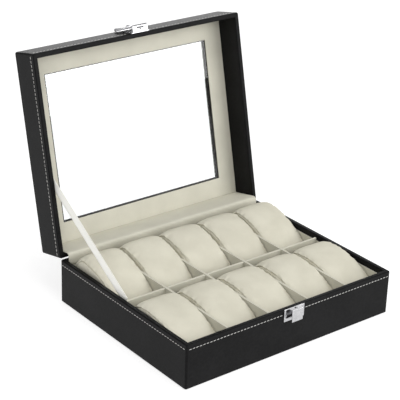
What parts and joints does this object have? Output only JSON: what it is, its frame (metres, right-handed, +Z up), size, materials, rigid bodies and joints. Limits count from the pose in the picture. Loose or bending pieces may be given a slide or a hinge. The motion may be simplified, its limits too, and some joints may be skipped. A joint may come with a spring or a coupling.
{
  "type": "watch box",
  "caption": "Hinged leather-covered watch box with a glass-windowed lid, a ribbon stay, a folding hasp and removable velvet pillows in lined cells.",
  "frame": {"origin": "centre of the felt underside, on the surface that the box stands on", "axes": "+Z up, +X to the right seen from the front, +Y to the back where the hinges are"},
  "size_m": [0.25, 0.2849, 0.2509],
  "materials": {
    "black_leather": "fine-grained satin leather cloth",
    "board": "dark pressed board, hidden",
    "velvet": "short-pile pale velvet",
    "pillow_velvet": "short-pile pale velvet over stuffing",
    "felt": "black felt",
    "ribbon": "satin ribbon",
    "glass": "clear float glass",
    "clasp_metal": "bright nickel plate",
    "hinge_metal": "nickel-plated steel"
  },
  "bodies": {
    "base": {"base_floor_board": "board", "base_front_board": "board", "base_back_board": "board", "base_left_board": "board", "base_right_board": "board", "base_leather_wrap": "black_leather", "base_bottom_felt": "felt", "base_floor_lining": "velvet", "base_front_lining": "velvet", "base_back_lining": "velvet", "base_left_lining": "velvet", "base_right_lining": "velvet", "row_divider": "velvet", "cross_divider_1": "velvet", "cross_divider_2": "velvet", "cross_divider_3": "velvet", "cross_divider_4": "velvet", "keeper_plate": "clasp_metal", "keeper_rivets": "clasp_metal", "hinge_base_leaf_left": "hinge_metal", "hinge_base_leaf_right": "hinge_metal", "hinge_base_screws": "hinge_metal", "hinge_lining": "velvet", "lid_ribbon": "ribbon"},
    "lid": {"lid_front_board": "board", "lid_back_board": "board", "lid_left_board": "board", "lid_right_board": "board", "lid_window_board": "board", "lid_glass": "glass", "lid_leather_wrap": "black_leather", "lid_velvet_frame": "velvet", "hinge_lid_leaf_left": "hinge_metal", "hinge_lid_leaf_right": "hinge_metal", "hinge_pin_left": "hinge_metal", "hinge_pin_right": "hinge_metal", "hinge_lid_screws": "hinge_metal", "hasp_bracket": "clasp_metal", "hasp_rivets": "clasp_metal", "hasp_pin": "clasp_metal"},
    "hasp": {"hasp_lever": "clasp_metal"},
    "pillow_front_1": {"pillow_front_1": "pillow_velvet"},
    "pillow_front_2": {"pillow_front_2": "pillow_velvet"},
    "pillow_front_3": {"pillow_front_3": "pillow_velvet"},
    "pillow_front_4": {"pillow_front_4": "pillow_velvet"},
    "pillow_front_5": {"pillow_front_5": "pillow_velvet"},
    "pillow_back_1": {"pillow_back_1": "pillow_velvet"},
    "pillow_back_2": {"pillow_back_2": "pillow_velvet"},
    "pillow_back_3": {"pillow_back_3": "pillow_velvet"},
    "pillow_back_4": {"pillow_back_4": "pillow_velvet"},
    "pillow_back_5": {"pillow_back_5": "pillow_velvet"}
  },
  "joints": [
    {"name": "lid_hinge", "type": "hinge", "parent": "base", "child": "lid", "pos_m": [0, 0.1013, 0.046], "axis": [1, 0, 0], "range_deg": [0, 102.6], "deforming": ["hinge_lining", "lid_ribbon"]},
    {"name": "hasp_hinge", "type": "hinge", "parent": "lid", "child": "hasp", "pos_m": [0, 0.14866, 0.24916], "axis": [1, 0, 0], "range_deg": [0, 185.5]},
    {"name": "pillow_front_1_lift", "type": "slide", "parent": "base", "child": "pillow_front_1", "axis": [0, 0, -1], "range_m": [-0.05, 0]},
    {"name": "pillow_front_2_lift", "type": "slide", "parent": "base", "child": "pillow_front_2", "axis": [0, 0, -1], "range_m": [-0.05, 0]},
    {"name": "pillow_front_3_lift", "type": "slide", "parent": "base", "child": "pillow_front_3", "axis": [0, 0, -1], "range_m": [-0.05, 0]},
    {"name": "pillow_front_4_lift", "type": "slide", "parent": "base", "child": "pillow_front_4", "axis": [0, 0, -1], "range_m": [-0.05, 0]},
    {"name": "pillow_front_5_lift", "type": "slide", "parent": "base", "child": "pillow_front_5", "axis": [0, 0, -1], "range_m": [-0.05, 0]},
    {"name": "pillow_back_1_lift", "type": "slide", "parent": "base", "child": "pillow_back_1", "axis": [0, 0, -1], "range_m": [-0.05, 0]},
    {"name": "pillow_back_2_lift", "type": "slide", "parent": "base", "child": "pillow_back_2", "axis": [0, 0, -1], "range_m": [-0.05, 0]},
    {"name": "pillow_back_3_lift", "type": "slide", "parent": "base", "child": "pillow_back_3", "axis": [0, 0, -1], "range_m": [-0.05, 0]},
    {"name": "pillow_back_4_lift", "type": "slide", "parent": "base", "child": "pillow_back_4", "axis": [0, 0, -1], "range_m": [-0.05, 0]},
    {"name": "pillow_back_5_lift", "type": "slide", "parent": "base", "child": "pillow_back_5", "axis": [0, 0, -1], "range_m": [-0.05, 0]}
  ]
}
